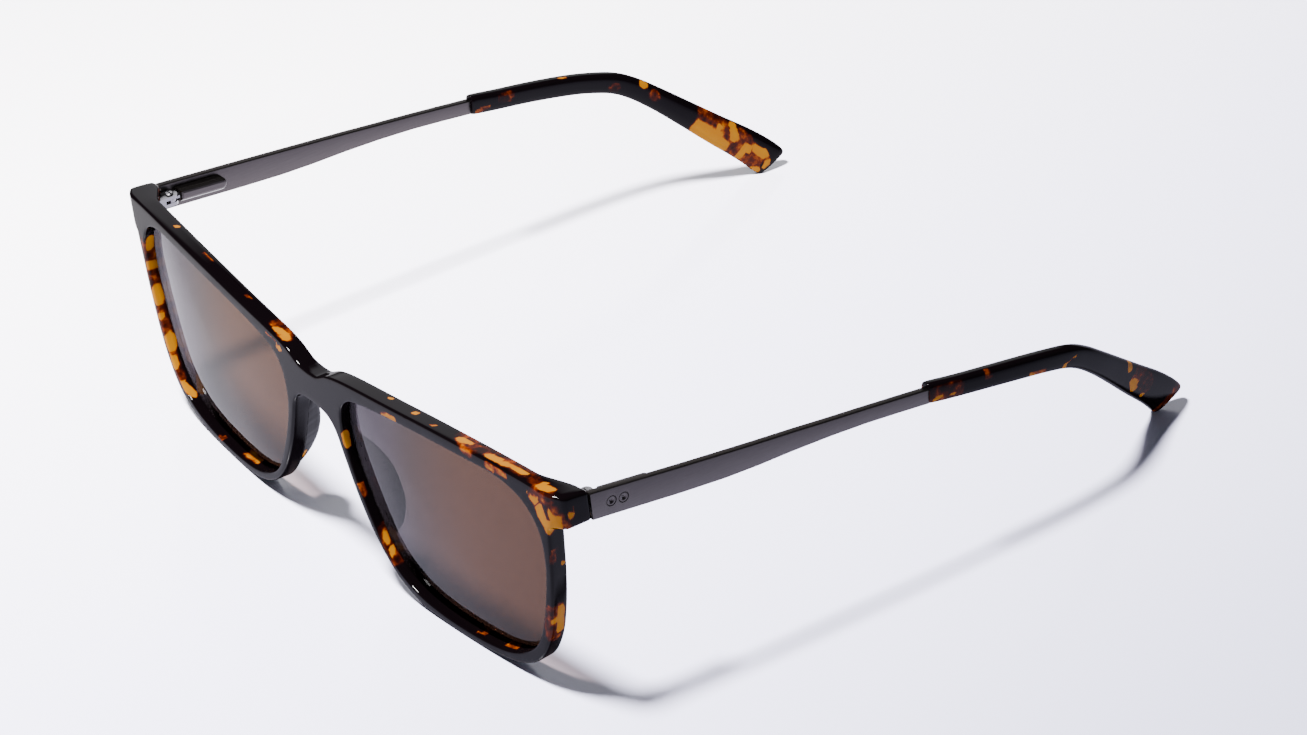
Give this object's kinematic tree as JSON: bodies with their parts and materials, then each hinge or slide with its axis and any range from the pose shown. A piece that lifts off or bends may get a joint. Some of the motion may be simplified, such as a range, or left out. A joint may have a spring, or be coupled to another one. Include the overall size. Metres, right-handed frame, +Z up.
{
  "type": "sunglasses",
  "caption": "Square tortoiseshell acetate sunglasses with tinted lenses, fixed nose pads, and slim metal temples on sprung hinges that fold, with bent acetate tips.",
  "frame": {"origin": "middle of the footprint on the surface the open glasses stand on", "axes": "+X to the wearer's left, +Y back along the temples, +Z up; the front looks along -Y"},
  "size_m": [0.1452, 0.1546, 0.0444],
  "materials": {
    "tortoise_acetate": "polished acetate, near black with amber patches",
    "tinted_lens": "polished grey-brown sun lens",
    "gunmetal": "satin gunmetal plating",
    "nickel": "polished nickel silver",
    "spring_steel": "bright wire"
  },
  "bodies": {
    "front": {"front_frame": "tortoise_acetate", "lens_left": "tinted_lens", "nose_pad_left": "tortoise_acetate", "front_hinge_left": "nickel", "hinge_screw_left": "nickel", "lens_right": "tinted_lens", "nose_pad_right": "tortoise_acetate", "front_hinge_right": "nickel", "hinge_screw_right": "nickel"},
    "slider_left": {"hinge_slider_left": "nickel", "spring_retainer_left": "nickel", "hinge_spring_left": "spring_steel"},
    "temple_left": {"temple_blade_left": "gunmetal", "temple_tip_left": "tortoise_acetate", "spring_housing_left": "gunmetal", "guide_bush_left": "nickel", "rivet_front_left": "gunmetal", "rivet_rear_left": "gunmetal"},
    "slider_right": {"hinge_slider_right": "nickel", "spring_retainer_right": "nickel", "hinge_spring_right": "spring_steel"},
    "temple_right": {"temple_blade_right": "gunmetal", "temple_tip_right": "tortoise_acetate", "spring_housing_right": "gunmetal", "guide_bush_right": "nickel", "rivet_front_right": "gunmetal", "rivet_rear_right": "gunmetal"}
  },
  "joints": [
    {"name": "temple_fold_left", "type": "hinge", "parent": "front", "child": "slider_left", "pos_m": [0.06745, -0.06447, 0.04015], "axis": [0, 0, 1], "range_deg": [0, 88]},
    {"name": "temple_flex_left", "type": "slide", "parent": "slider_left", "child": "temple_left", "axis": [0.0348, 0.9944, -0.0994], "range_m": [0, 0.0013], "stiffness_N_per_m": 4000, "springref_m": -0.0005, "deforming": ["hinge_spring_left"]},
    {"name": "temple_fold_right", "type": "hinge", "parent": "front", "child": "slider_right", "pos_m": [-0.06745, -0.06447, 0.04015], "axis": [0, 0, -1], "range_deg": [0, 80]},
    {"name": "temple_flex_right", "type": "slide", "parent": "slider_right", "child": "temple_right", "axis": [-0.0348, 0.9944, -0.0994], "range_m": [0, 0.0013], "stiffness_N_per_m": 4000, "springref_m": -0.0005, "deforming": ["hinge_spring_right"]}
  ]
}
